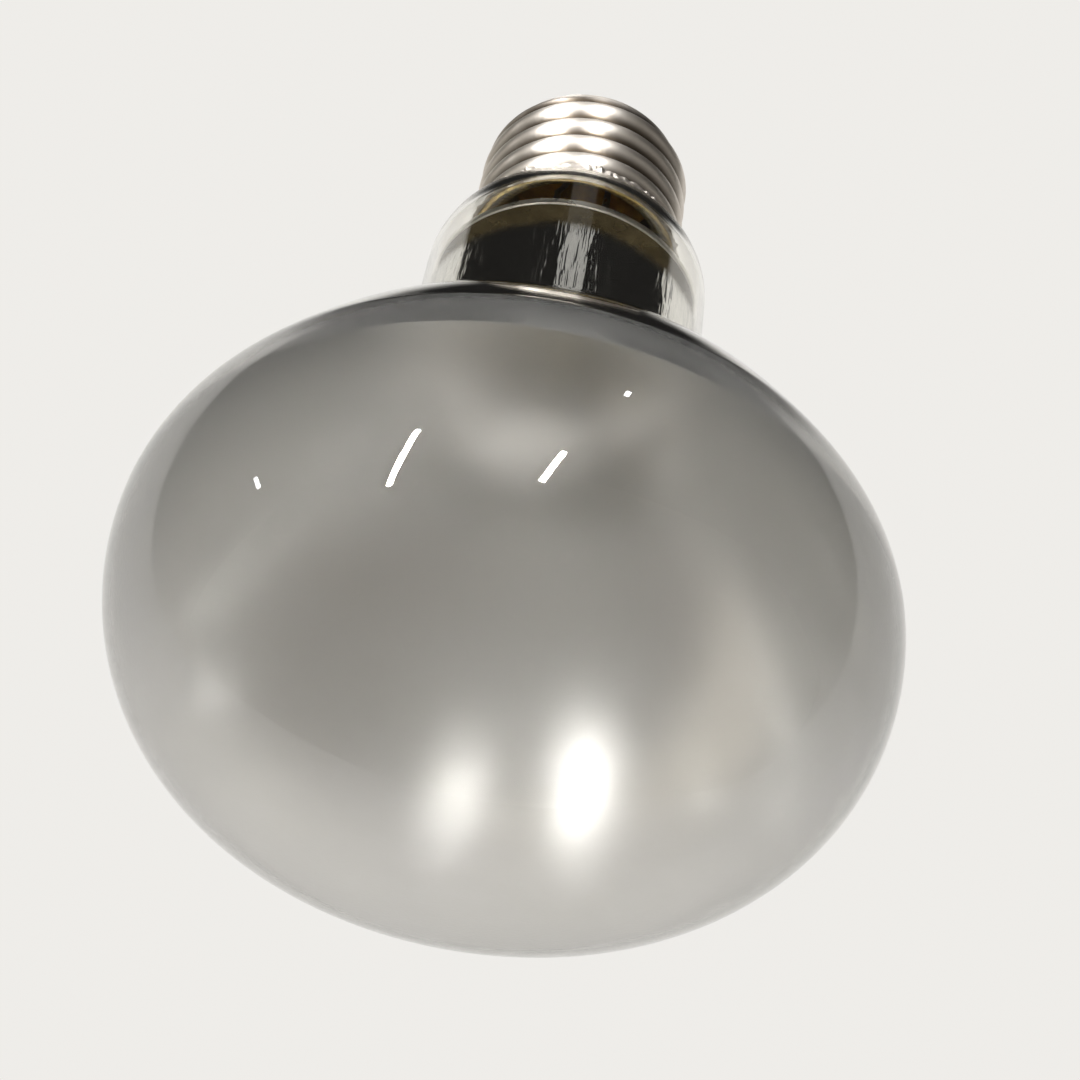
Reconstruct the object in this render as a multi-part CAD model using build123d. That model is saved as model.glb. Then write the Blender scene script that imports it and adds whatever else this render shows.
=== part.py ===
from build123d import *
import os
from math import acos, atan2, cos, radians, sin, sqrt, tan

# Reflector bulb: a blown glass envelope on a screw cap, with its lamp mount sealed inside.
# Z is the lamp axis and points at the cap. The origin is the flat crown of the centre contact.
# Millimetres throughout. Profiles are drawn as (radius, height) in the XZ plane and turned round Z.

# Screw cap
SHELL_LENGTH = 19.1
SHEET = 0.3
THREAD_PITCH = 3.629
THREAD_ROOT_R = 12.05
THREAD_DEPTH = 1.1
THREAD_CREST_FLAT = 0.9
THREAD_FLANK_ANGLE = 52.0
THREAD_FADE = 2.6
THREAD_START_ANGLE = -125.0
THREAD_SEAM_ANGLE = 140.0
SKIRT_PROUD = 0.2
SKIRT_LENGTH = 1.5
SKIRT_STEP = 0.9
SHELL_CORNER = 1.4
LIP_R = 9.8

# Cap insulator and contacts
INSULATOR_RISE = 6.0
INSULATOR_FOOT = 0.7
INSULATOR_TOP_R = 5.6
INSULATOR_FLANGE = 0.8
INSULATOR_FLANGE_DEPTH = 1.5
INSULATOR_WALL = 2.2
INSULATOR_STEP = 0.6
CONTACT_R = 4.9
CONTACT_THICKNESS = 0.6
CONTACT_EDGE = 0.25
CONTACT_HOLE_R = 1.3
SOLDER_RISE = 1.0
SOLDER_R = 2.9
SOLDER_CROWN_R = 1.6
SOLDER_COVER = 0.4
SIDE_SOLDER_R = 1.5
SIDE_SOLDER_DROP = 2.7

# Blown envelope, outside sizes
BULB_DIAMETER = 80.0
FRONT_RADIUS = 80.0
FRONT_SHOULDER_RADIUS = 22.4
BACK_SHOULDER_RADIUS = 15.7
BACK_SHOULDER_ANGLE = 27.6
REFLECTOR_RADIUS = 66.4
NECK_R = 17.0
NECK_LENGTH = 19.0
NECK_FOOT_RADIUS = 8.7
NECK_TOP_RADIUS = 8.0
NECK_TOP_HEIGHT = 7.0
SEAL_R = 11.2
SEAL_BLEND_RADIUS = 2.0
SEAL_HEIGHT = 6.3
GLASS_WALL = 0.8

# Glass stem
STEM_R = 5.9
STEM_WALL = 0.9
STEM_TUBE_LENGTH = 22.5
STEM_FLARE_LENGTH = 5.0
PRESS_WIDTH = 13.0
PRESS_THICKNESS = 4.4
PRESS_TAPER = 3.2
PRESS_LENGTH = 5.0
PRESS_CORNER = 1.6
EXHAUST_R = 1.5
EXHAUST_WALL = 0.5
EXHAUST_LENGTH = 26.0

# Lamp mount
LEAD_DIAMETER = 0.8
LEAD_OFFSET = 3.3
LEAD_SPLAY = 6.0
LEAD_TAIL = 0.9
FILAMENT_R = 8.5
FILAMENT_DROP = 10.2
FILAMENT_COIL_DIAMETER = 1.0
SUPPORT_DIAMETER = 0.5
SUPPORT_ANGLE = 40.0
SUPPORT_OFFSET = 1.4
SUPPORT_EMBED = 2.0
SLEEVE_DIAMETER = 3.0
SLEEVE_LENGTH = 23.5
SLEEVE_CLEARANCE = 0.1
SHIELD_HEIGHT = 10.5
SHIELD_THICKNESS = 0.4
SHIELD_COLLAR = 2.0
SHIELD_EDGE = 1.0
SHIELD_GRIP = 0.05
SHIELD_WALL_CLEARANCE = 0.35
CEMENT_RECESS = 0.3
CEMENT_HEIGHT = 6.1

# Levels of the cap, down from the crown, and its radii
plate_top = -SOLDER_RISE
seat = plate_top - CONTACT_THICKNESS
shell_top = seat - INSULATOR_RISE
rim = shell_top - SHELL_LENGTH
crest_r = THREAD_ROOT_R + THREAD_DEPTH
skirt_r = crest_r + SKIRT_PROUD
lead_r = LEAD_DIAMETER / 2
coil_r = FILAMENT_COIL_DIAMETER / 2
bulb_r = BULB_DIAMETER / 2

# Levels of the neck and the widest circle
neck_top = rim - NECK_TOP_HEIGHT
neck_foot = neck_top - NECK_LENGTH
back_angle = radians(BACK_SHOULDER_ANGLE)
back_centre_r = bulb_r - BACK_SHOULDER_RADIUS
reflector_reach = REFLECTOR_RADIUS - BACK_SHOULDER_RADIUS
reflector_r = back_centre_r - reflector_reach * cos(back_angle)
reflector_drop = reflector_reach * sin(back_angle)
foot_reach = NECK_R + NECK_FOOT_RADIUS - reflector_r
foot_rise = sqrt((REFLECTOR_RADIUS + NECK_FOOT_RADIUS) ** 2 - foot_reach**2)
foot_angle = atan2(foot_rise, foot_reach)
equator = neck_foot - foot_rise + reflector_drop

# Levels of the seal, the stem and the lamp mount
seal = rim + SEAL_HEIGHT
press_top = seal - STEM_TUBE_LENGTH
press_bottom = press_top - PRESS_TAPER - PRESS_LENGTH
filament_level = press_bottom - FILAMENT_DROP
shield_level = rim - SHIELD_HEIGHT + SHIELD_THICKNESS
side_lead_level = shell_top - SIDE_SOLDER_DROP
exhaust_tip = press_top + EXHAUST_LENGTH


def polar(centre: tuple, radius: float, angle: float) -> tuple:
    """Point of a circle at an angle in radians, measured from the radius direction."""
    return centre[0] + radius * cos(angle), centre[1] + radius * sin(angle)


def arc(centre: tuple, radius: float, start: float, end: float) -> Edge:
    """Arc of a circle between two angles in radians."""
    middle = (start + end) / 2
    return ThreePointArc(*(polar(centre, radius, angle) for angle in (start, middle, end)))


def turned(edges: list) -> Part:
    """Solid made by turning a closed outline once round Z."""
    return revolve(Plane.XZ * make_face(edges), Axis.Z)


def turned_points(*points: tuple) -> Part:
    """Solid made by turning a closed polygon once round Z."""
    return turned([Polyline(*points, close=True)])


def wire(points: list, diameter: float) -> Part:
    """Round wire along straight runs, bent sharp at each inner point."""
    path = Polyline(*points)
    section = Plane(path @ 0, z_dir=path % 0) * Circle(diameter / 2)
    return sweep(section, path=path, transition=Transition.RIGHT)


def upright(radius: float, bottom: float, top: float, x: float = 0.0) -> Part:
    """Upright round bar between two levels."""
    bar = Cylinder(radius, top - bottom, align=(Align.CENTER, Align.CENTER, Align.MIN))
    return Pos(x, 0, bottom) * bar


# Envelope

def envelope_outline(inset: float) -> list:
    """Outline of the glass from the front pole to the seal, moved in from the outside by inset."""
    front_shoulder = (bulb_r - FRONT_SHOULDER_RADIUS, equator)
    front_reach = FRONT_RADIUS - FRONT_SHOULDER_RADIUS
    front_level = equator + sqrt(front_reach**2 - front_shoulder[0] ** 2)
    front_angle = atan2(equator - front_level, front_shoulder[0])
    reflector = (reflector_r, equator - reflector_drop)
    foot = (NECK_R + NECK_FOOT_RADIUS, neck_foot)
    top = (NECK_R - NECK_TOP_RADIUS, neck_top)
    blend_reach = NECK_TOP_RADIUS + SEAL_BLEND_RADIUS
    blend_angle = acos((SEAL_R + SEAL_BLEND_RADIUS - top[0]) / blend_reach)
    blend = polar(top, blend_reach, blend_angle)
    half_turn = radians(180)
    return [
        arc((0, front_level), FRONT_RADIUS - inset, radians(-90), front_angle),
        arc(front_shoulder, FRONT_SHOULDER_RADIUS - inset, front_angle, 0),
        arc((back_centre_r, equator), BACK_SHOULDER_RADIUS - inset, 0, back_angle),
        arc(reflector, REFLECTOR_RADIUS - inset, back_angle, foot_angle),
        arc(foot, NECK_FOOT_RADIUS + inset, half_turn + foot_angle, half_turn),
        Line((NECK_R - inset, neck_foot), (NECK_R - inset, neck_top)),
        arc(top, NECK_TOP_RADIUS - inset, 0, blend_angle),
        arc(blend, SEAL_BLEND_RADIUS + inset, half_turn + blend_angle, half_turn),
        Line((SEAL_R - inset, blend[1]), (SEAL_R - inset, seal)),
    ]


def envelope_body(inset: float) -> Part:
    """The envelope's form filled solid, moved in by inset."""
    outline = envelope_outline(inset)
    pole = outline[0] @ 0
    rim_point = outline[-1] @ 1
    close = Polyline((rim_point.X, rim_point.Y), (0, seal), (0, pole.Y))
    return turned([*outline, close])


def glass_envelope() -> Part:
    """Blown shell of even wall, open at the seal."""
    return envelope_body(0) - envelope_body(GLASS_WALL)


# Stem and lamp mount

def lead_route(side: int) -> list:
    """Points of a lead from the filament up through the stem, to the crown or to the shell's side."""
    x = side * LEAD_OFFSET
    foot = (side * FILAMENT_R, 0, filament_level - LEAD_TAIL)
    knee = (side * FILAMENT_R, 0, filament_level + LEAD_TAIL)
    press = (x, 0, filament_level + LEAD_TAIL + LEAD_SPLAY)
    if side < 0:
        turn = (x, 0, (exhaust_tip + side_lead_level) / 2)
        return [foot, knee, press, turn, (0, 0, seat - INSULATOR_WALL), (0, 0, -SOLDER_COVER)]
    reach = sqrt(THREAD_ROOT_R**2 - LEAD_OFFSET**2)
    return [foot, knee, press, (x, 0, side_lead_level), (x, reach + SOLDER_COVER, side_lead_level)]


def lead_wire(side: int) -> Part:
    """One lead of the lamp mount, on the left for side -1 and on the right for side 1."""
    return wire(lead_route(side), LEAD_DIAMETER)


def filament_corner(side: int) -> tuple:
    """Place where a support carries the filament."""
    angle = radians(SUPPORT_ANGLE)
    return side * FILAMENT_R * sin(angle), -FILAMENT_R * cos(angle), filament_level


def support_wire(side: int) -> Part:
    """Wire sealed in the press that bears on the filament from above."""
    x, y, level = filament_corner(side)
    root = (side * SUPPORT_OFFSET, 0, press_bottom + SUPPORT_EMBED)
    neck = (side * SUPPORT_OFFSET, 0, press_bottom - SUPPORT_EMBED)
    knee = (x, y, level + coil_r + SUPPORT_EMBED)
    return wire([root, neck, knee, (x, y, level + coil_r)], SUPPORT_DIAMETER)


def filament() -> Part:
    """Coiled coil, drawn as its outer tube, stretched between the leads over the supports."""
    end_y = -lead_r - coil_r
    ends = [(side * FILAMENT_R, end_y, filament_level) for side in (-1, 1)]
    return wire([ends[0], filament_corner(-1), filament_corner(1), ends[1]], FILAMENT_COIL_DIAMETER)


def stem_tube() -> Part:
    """Flared tube whose edge is melted to the neck's end."""
    neck_bore = SEAL_R - GLASS_WALL
    bore = STEM_R - STEM_WALL
    flare_foot = seal - STEM_FLARE_LENGTH
    return turned_points(
        (STEM_R, press_top),
        (STEM_R, flare_foot),
        (neck_bore, seal),
        (SEAL_R, seal),
        (SEAL_R, seal + STEM_WALL),
        (neck_bore - STEM_WALL, seal + STEM_WALL),
        (bore, flare_foot + STEM_WALL / 2),
        (bore, press_top),
    )


def exhaust_tube() -> Part:
    """Pumping tube drawn off to a closed round tip."""
    tip = exhaust_tip - EXHAUST_R
    tube = upright(EXHAUST_R, press_top, tip) + Pos(0, 0, tip) * Sphere(EXHAUST_R)
    bore = EXHAUST_R - EXHAUST_WALL
    return tube - upright(bore, press_top, tip) - Pos(0, 0, tip) * Sphere(bore)


def stem_press() -> Part:
    """Tube end pinched flat round the leads."""
    flat = RectangleRounded(PRESS_WIDTH, PRESS_THICKNESS, PRESS_CORNER)
    pinch = loft([Pos(0, 0, press_top) * Circle(STEM_R), Pos(0, 0, press_top - PRESS_TAPER) * flat])
    return pinch + extrude(Pos(0, 0, press_bottom) * flat, amount=PRESS_LENGTH)


def stem() -> Part:
    """Flare, exhaust tube and press in one piece of glass, with the wires sealed through it."""
    glass = stem_tube() + exhaust_tube() + stem_press()
    for side in (-1, 1):
        glass -= upright(lead_r, press_bottom, press_top, side * LEAD_OFFSET)
        glass -= upright(SUPPORT_DIAMETER / 2, press_bottom, press_bottom + SUPPORT_EMBED, side * SUPPORT_OFFSET)
    return glass


def lead_sleeve() -> Part:
    """Insulating sleeve over the side lead, standing on the press."""
    top = press_top + SLEEVE_LENGTH
    return upright(SLEEVE_DIAMETER / 2, press_top, top, LEAD_OFFSET) - upright(
        lead_r + SLEEVE_CLEARANCE, press_top, top, LEAD_OFFSET
    )


def heat_shield() -> Part:
    """Pressed disc that closes the neck, with a turned-up edge and a drawn collar gripping the stem."""
    edge = NECK_R - GLASS_WALL - SHIELD_WALL_CLEARANCE
    bore = STEM_R + SHIELD_GRIP
    under = shield_level - SHIELD_THICKNESS
    return turned_points(
        (bore, under),
        (edge, under),
        (edge, under + SHIELD_EDGE),
        (edge - SHIELD_THICKNESS, under + SHIELD_EDGE),
        (edge - SHIELD_THICKNESS, shield_level),
        (bore + SHIELD_THICKNESS, shield_level),
        (bore + SHIELD_THICKNESS, under + SHIELD_COLLAR),
        (bore, under + SHIELD_COLLAR),
    )


# Cap

def shell_body(inset: float) -> Part:
    """The shell's plain form filled solid, moved in by inset."""
    skirt = skirt_r - inset
    root = THREAD_ROOT_R - inset
    top = shell_top - inset
    corner = SHELL_CORNER - inset
    return turned([
        Polyline(
            (0, top),
            (0, rim),
            (skirt, rim),
            (skirt, rim + SKIRT_LENGTH),
            (root, rim + SKIRT_LENGTH + SKIRT_STEP),
            (root, top - corner),
        ),
        arc((root - corner, top - corner), corner, 0, radians(90)),
        Line((root - corner, top), (0, top)),
    ])


def threaded_body() -> Part:
    """The shell filled solid, with the ridge of a right-hand thread that fades at the shell's corner.

    The plain body's seam is kept at a set angle from the ridge's end, where the two join cleanly.
    """
    half_flat = THREAD_CREST_FLAT / 2
    base = THREAD_ROOT_R - SHEET / 2
    half_base = half_flat + (crest_r - base) / tan(radians(THREAD_FLANK_ANGLE))
    section = Polyline(
        (base, rim - half_base),
        (crest_r, rim - half_flat),
        (crest_r, rim + half_flat),
        (base, rim + half_base),
        close=True,
    )
    turns = SHELL_LENGTH / THREAD_PITCH + 1
    helix = Helix(THREAD_PITCH, turns * THREAD_PITCH, THREAD_ROOT_R, center=(0, 0, rim))
    ridge = sweep(Plane.XZ * make_face(section), path=helix, is_frenet=True)
    clear_of_end = Rot(0, 0, 360 * turns + THREAD_SEAM_ANGLE)
    plain = clear_of_end * shell_body(0)
    fade_end = shell_top - SHELL_CORNER
    fade_start = fade_end - THREAD_FADE
    bounds = turned_points((0, rim), (skirt_r, rim), (skirt_r, fade_start), (base, fade_end), (0, fade_end))
    limit = clear_of_end * bounds
    return Rot(0, 0, THREAD_START_ANGLE) * ((plain + ridge) & (plain + limit))


def screw_shell() -> Part:
    """Rolled shell with its thread outside, a plain bore, a hole for the insulator and one for the side lead."""
    shell = threaded_body() - shell_body(SHEET)
    shell -= upright(LIP_R, shell_top - SHEET, shell_top)
    return shell - lead_wire(1)


def insulator() -> Part:
    """Moulded cone that grips the shell's lip and carries the centre contact."""
    under_lip = shell_top - SHEET
    flange = LIP_R + INSULATOR_FLANGE
    foot = LIP_R + INSULATOR_FOOT
    bottom = under_lip - INSULATOR_FLANGE_DEPTH
    roof = seat - INSULATOR_WALL
    return turned_points(
        (LIP_R - INSULATOR_WALL, bottom),
        (flange, bottom),
        (flange, under_lip),
        (LIP_R, under_lip),
        (LIP_R, shell_top),
        (foot, shell_top),
        (INSULATOR_TOP_R + INSULATOR_STEP, seat - INSULATOR_STEP),
        (INSULATOR_TOP_R, seat),
        (CONTACT_HOLE_R, seat),
        (CONTACT_HOLE_R, roof),
        (INSULATOR_TOP_R - INSULATOR_WALL, roof),
    )


def centre_contact() -> Part:
    """Round contact plate with a hole for the solder."""
    plate = upright(CONTACT_R, seat, plate_top)
    plate = chamfer(plate.edges().group_by(Axis.Z)[-1], CONTACT_EDGE)
    return plate - upright(CONTACT_HOLE_R, seat, plate_top)


def centre_solder() -> Part:
    """Solder drop that fills the plate's hole, with the flat crown that meets the holder's contact."""
    swell = ((SOLDER_R + SOLDER_CROWN_R) / 2 + SOLDER_RISE / 4, plate_top / 2 + SOLDER_RISE / 4)
    drop = turned([
        Polyline((SOLDER_CROWN_R, 0), (0, 0), (0, seat), (CONTACT_HOLE_R, seat), (CONTACT_HOLE_R, plate_top),
                 (SOLDER_R, plate_top)),
        ThreePointArc((SOLDER_R, plate_top), swell, (SOLDER_CROWN_R, 0)),
    ])
    return drop - lead_wire(-1)


def side_solder(shell: Part) -> Part:
    """Solder bead over the end of the side lead, seated on the shell."""
    reach = sqrt(THREAD_ROOT_R**2 - LEAD_OFFSET**2)
    bead = Pos(LEAD_OFFSET, reach, side_lead_level) * Rot(90, 0, 0) * Sphere(SIDE_SOLDER_R)
    return bead - shell_body(0) - shell - lead_wire(1)


def basing_cement() -> Part:
    """Ring of cement between the neck and the shell."""
    room = shell_body(SHEET) & upright(skirt_r, rim + CEMENT_RECESS, rim + CEMENT_HEIGHT)
    return room - envelope_body(0)


def lamp() -> dict:
    """Every piece of the lamp by name."""
    shell = screw_shell()
    return {
        "glass_envelope": glass_envelope(),
        "stem": stem(),
        "centre_lead": lead_wire(-1),
        "side_lead": lead_wire(1),
        "filament": filament(),
        "support_wires": Compound([*support_wire(-1).solids(), *support_wire(1).solids()]),
        "lead_sleeve": lead_sleeve(),
        "heat_shield": heat_shield(),
        "screw_shell": shell,
        "insulator": insulator(),
        "centre_contact": centre_contact(),
        "centre_solder": centre_solder(),
        "side_solder": side_solder(shell),
        "basing_cement": basing_cement(),
    }


os.makedirs("parts", exist_ok=True)
for node, piece in lamp().items():
    export_step(piece, f"parts/{node}.step")
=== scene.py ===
import logging
import math
from collections.abc import Callable
from dataclasses import dataclass, field, replace
from enum import Enum

import bmesh
import bpy
from mathutils import Matrix, Vector, noise


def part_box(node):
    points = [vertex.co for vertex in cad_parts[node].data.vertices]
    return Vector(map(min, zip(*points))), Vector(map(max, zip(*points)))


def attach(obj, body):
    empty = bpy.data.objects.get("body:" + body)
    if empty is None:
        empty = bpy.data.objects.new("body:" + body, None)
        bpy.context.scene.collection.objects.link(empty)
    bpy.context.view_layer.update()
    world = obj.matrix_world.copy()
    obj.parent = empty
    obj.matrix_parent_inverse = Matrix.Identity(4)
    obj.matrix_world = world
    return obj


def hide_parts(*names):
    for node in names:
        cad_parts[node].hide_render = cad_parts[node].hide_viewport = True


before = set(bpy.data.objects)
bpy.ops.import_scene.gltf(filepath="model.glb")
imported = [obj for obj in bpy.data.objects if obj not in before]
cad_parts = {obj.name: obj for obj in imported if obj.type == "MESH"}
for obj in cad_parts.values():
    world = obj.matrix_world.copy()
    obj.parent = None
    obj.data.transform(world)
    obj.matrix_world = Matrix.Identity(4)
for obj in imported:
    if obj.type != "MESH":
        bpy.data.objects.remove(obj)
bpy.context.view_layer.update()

LOG = logging.getLogger("reflector_bulb")
MM = 0.001
HALF_TURN = math.pi
FULL_TURN = 2 * math.pi
ON_AXIS = 1e-6
SAME_POINT = 1e-7
MAX_CUT = 0.45
BODY = "root"
DIP_TOWARDS = (-0.34, 0.94, 0.0)
DIP_REACH = (12.6 * MM, 15.9 * MM)

Colour = tuple[float, float, float]
Place = tuple[float, float, float]
Point = tuple[float, float]
Span = tuple[float, float]
Outline = list[Point]
Node = bpy.types.Node
Socket = bpy.types.NodeSocket
Sockets = bpy.types.bpy_prop_collection


class Effect(Enum):
    """Surface effects that several finishes share, each one node group."""

    MOTTLE = "mottle"
    LEVEL_FADE = "level_fade"
    RADIUS_BAND = "radius_band"
    GRAIN = "grain"


class Bench:
    """Adds nodes to one node tree and joins them."""

    def __init__(self, tree: bpy.types.NodeTree) -> None:
        """Keep the tree that nodes are added to."""
        self.tree = tree

    def add(self, kind: str, **settings: object) -> Node:
        """Add a node.

        Args:
            kind: Blender's name of the node type.
            **settings: properties of the node.

        Returns:
            The new node.
        """
        node = self.tree.nodes.new(kind)
        for name, value in settings.items():
            setattr(node, name, value)
        return node

    def join(self, value: object, socket: Socket) -> None:
        """Link an input to another socket, or set it to a plain value.

        Args:
            value: the socket to link from, or the plain value.
            socket: the input.
        """
        if isinstance(value, Socket):
            self.tree.links.new(value, socket)
        else:
            socket.default_value = value

    def feed(self, node: Node, **values: object) -> None:
        """Set or link a node's inputs, named with _ for a space.

        Args:
            node: the node whose inputs are fed.
            **values: a socket to link from, or a plain value.
        """
        for name, value in values.items():
            self.join(value, node.inputs[name.replace("_", " ")])

    def mix(self, mask: Socket, low: object, high: object) -> Socket:
        """Blend two colours by a mask.

        Args:
            mask: socket that gives 0 for low and 1 for high.
            low: colour or socket at 0.
            high: colour or socket at 1.

        Returns:
            The blended colour's socket.
        """
        node = self.add("ShaderNodeMix", data_type="RGBA")
        ends = {"A": low, "B": high}
        self.join(mask, node.inputs[0])
        for socket in (s for s in node.inputs if s.type == "RGBA"):
            value = ends[socket.name]
            self.join(value if isinstance(value, Socket) else (*value, 1.0), socket)
        return next(s for s in node.outputs if s.type == "RGBA")

    def ramp(self, value: Socket, low: object, high: object) -> Socket:
        """Ease a value from 0 to 1.

        Args:
            value: socket of the value.
            low: value or socket where the result is 0.
            high: value or socket where the result is 1.

        Returns:
            The result's socket.
        """
        node = self.add("ShaderNodeMapRange", interpolation_type="SMOOTHSTEP")
        self.feed(node, Value=value, From_Min=low, From_Max=high)
        return node.outputs[0]

    def math(self, operation: str, first: object, second: object) -> Socket:
        """Join two values by one sum.

        Args:
            operation: Blender's name of the sum.
            first: socket or number.
            second: socket or number.

        Returns:
            The result's socket.
        """
        node = self.add("ShaderNodeMath", operation=operation)
        for value, socket in zip((first, second), node.inputs):
            self.join(value, socket)
        return node.outputs[0]

    def split(self, vector: Socket) -> Sockets:
        """The X, Y and Z sockets of a vector."""
        node = self.add("ShaderNodeSeparateXYZ")
        self.feed(node, Vector=vector)
        return node.outputs

    def vector(self, operation: str, *values: object) -> Node:
        """Join vectors by one sum.

        Args:
            operation: Blender's name of the sum.
            *values: sockets or plain vectors.

        Returns:
            The sum's node.
        """
        node = self.add("ShaderNodeVectorMath", operation=operation)
        for value, socket in zip(values, node.inputs):
            self.join(value, socket)
        return node


class EffectShelf:
    """Makes each effect's node group once."""

    patch_spread: Span = (0.32, 0.68)
    patch_noise: dict[str, float] = {"Detail": 4.0, "Roughness": 0.6}
    grain_noise: dict[str, float] = {"Detail": 3.0, "Roughness": 0.55}
    ragged_detail: float = 3.0

    def place(self, bench: Bench, effect: Effect, **values: object) -> Socket:
        """Put an effect into a material.

        Args:
            bench: the material's bench.
            effect: which effect.
            **values: the group's inputs.

        Returns:
            The effect's output socket.
        """
        group = bpy.data.node_groups.get(effect.value) or self._make(effect)
        node = bench.add("ShaderNodeGroup", node_tree=group)
        bench.feed(node, **values)
        return node.outputs[0]

    def _make(self, effect: Effect) -> bpy.types.NodeTree:
        """Build the node group of an effect."""
        makers = {
            Effect.MOTTLE: self._mottle,
            Effect.LEVEL_FADE: self._level_fade,
            Effect.RADIUS_BAND: self._radius_band,
            Effect.GRAIN: self._grain,
        }
        bench, result = makers[effect](effect.value)
        bench.join(result, bench.add("NodeGroupOutput").inputs[0])
        return bench.tree

    @staticmethod
    def _start(name: str, inputs: dict[str, float], output: str) -> tuple[Bench, Sockets]:
        """Begin a group with float inputs and one float output.

        Args:
            name: the group's name.
            inputs: each input's name and first value.
            output: the output's name.

        Returns:
            The group's bench and its inputs' sockets.
        """
        tree = bpy.data.node_groups.new(name, "ShaderNodeTree")
        for label, value in inputs.items():
            socket = tree.interface.new_socket(label, in_out="INPUT", socket_type="NodeSocketFloat")
            socket.default_value = value
        tree.interface.new_socket(output, in_out="OUTPUT", socket_type="NodeSocketFloat")
        bench = Bench(tree)
        return bench, bench.add("NodeGroupInput").outputs

    @staticmethod
    def _place_on_object(bench: Bench, stretch: Socket) -> Socket:
        """Object coordinates with heights scaled by stretch, so patterns can run along the axis."""
        spot = bench.split(bench.add("ShaderNodeTexCoord").outputs["Object"])
        joined = bench.add("ShaderNodeCombineXYZ")
        bench.feed(joined, X=spot["X"], Y=spot["Y"], Z=bench.math("MULTIPLY", spot["Z"], stretch))
        return joined.outputs[0]

    def _mottle(self, name: str) -> tuple[Bench, Socket]:
        """Soft cloudy patches between two values."""
        inputs = {"Scale": 100.0, "Stretch": 1.0, "Low": 0.0, "High": 1.0}
        bench, given = self._start(name, inputs, "Mask")
        cloud = bench.add("ShaderNodeTexNoise")
        place = self._place_on_object(bench, given["Stretch"])
        bench.feed(cloud, Vector=place, Scale=given["Scale"], **self.patch_noise)
        spread = bench.add("ShaderNodeMapRange")
        least, most = self.patch_spread
        bench.feed(spread, Value=cloud.outputs[0], From_Min=least, From_Max=most)
        bench.feed(spread, To_Min=given["Low"], To_Max=given["High"])
        return bench, spread.outputs[0]

    def _grain(self, name: str) -> tuple[Bench, Socket]:
        """Fine height pattern for bumps."""
        bench, given = self._start(name, {"Scale": 1000.0, "Stretch": 1.0, "Depth": 1.0}, "Height")
        cloud = bench.add("ShaderNodeTexNoise")
        place = self._place_on_object(bench, given["Stretch"])
        bench.feed(cloud, Vector=place, Scale=given["Scale"], **self.grain_noise)
        return bench, bench.math("MULTIPLY", cloud.outputs[0], given["Depth"])

    def _level_fade(self, name: str) -> tuple[Bench, Socket]:
        """Mask that falls from 1 at the lower level to 0 at the upper one, ragged and lower at the back."""
        inputs = {"Bottom": 0.0, "Top": 0.01, "Tilt": 0.0, "Dip": 0.0, "Ragged": 0.001, "Scale": 200.0}
        bench, given = self._start(name, inputs, "Mask")
        spot = bench.add("ShaderNodeTexCoord").outputs["Object"]
        split = bench.split(spot)
        cloud = bench.add("ShaderNodeTexNoise")
        bench.feed(cloud, Vector=spot, Scale=given["Scale"], Detail=self.ragged_detail)
        swing = bench.math("SUBTRACT", cloud.outputs[0], 0.5)
        shift = bench.math("MULTIPLY", swing, given["Ragged"])
        lean = bench.math("MULTIPLY", split["Y"], given["Tilt"])
        towards = bench.vector("DOT_PRODUCT", spot, DIP_TOWARDS)
        back = bench.ramp(towards.outputs["Value"], *DIP_REACH)
        dip = bench.math("MULTIPLY", back, given["Dip"])
        level = bench.math("ADD", bench.math("ADD", split["Z"], lean), bench.math("ADD", shift, dip))
        risen = bench.ramp(level, given["Bottom"], given["Top"])
        return bench, bench.math("SUBTRACT", 1.0, risen)

    def _radius_band(self, name: str) -> tuple[Bench, Socket]:
        """Mask that rises from 0 at the inner radius to 1 at the outer one."""
        bench, given = self._start(name, {"Inner": 0.0, "Outer": 0.01}, "Mask")
        spot = bench.add("ShaderNodeTexCoord").outputs["Object"]
        flat = bench.vector("MULTIPLY", spot, (1.0, 1.0, 0.0))
        reach = bench.vector("LENGTH", flat.outputs[0])
        return bench, bench.ramp(reach.outputs["Value"], given["Inner"], given["Outer"])


SHELF = EffectShelf()


@dataclass(frozen=True)
class Finish:
    """Base of every finish: two colours and two roughness values, mixed in patches, over a fine grain."""

    name: str
    pale: Colour
    deep: Colour
    smooth: float
    rough: float
    patch_scale: float = 120.0
    patch_stretch: float = 1.0
    grain_scale: float = 2500.0
    grain_stretch: float = 1.0
    grain_depth: float = 0.02 * MM

    def make(self) -> bpy.types.Material:
        """Build the material once and hand it out."""
        material = bpy.data.materials.get(self.name)
        if material is None:
            material = bpy.data.materials.new(self.name)
            material.use_nodes = True
            bench = Bench(material.node_tree)
            shader = material.node_tree.nodes["Principled BSDF"]
            self.dress(bench, shader)
        return material

    def dress(self, bench: Bench, shader: Node) -> None:
        """Feed the colour, roughness and bump that every finish has.

        Args:
            bench: the material's bench.
            shader: its Principled shader.
        """
        where = {"Scale": self.patch_scale, "Stretch": self.patch_stretch}
        patch = SHELF.place(bench, Effect.MOTTLE, **where)
        worn = SHELF.place(bench, Effect.MOTTLE, **where, Low=self.smooth, High=self.rough)
        bump = bench.add("ShaderNodeBump")
        bench.feed(bump, Height=self.height(bench), Distance=1.0, Strength=1.0)
        colour = bench.mix(patch, self.pale, self.deep)
        bench.feed(shader, Base_Color=colour, Roughness=worn, Normal=bump.outputs[0])

    def height(self, bench: Bench) -> Socket:
        """Height of the fine grain."""
        grain = {"Scale": self.grain_scale, "Stretch": self.grain_stretch, "Depth": self.grain_depth}
        return SHELF.place(bench, Effect.GRAIN, **grain)


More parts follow.
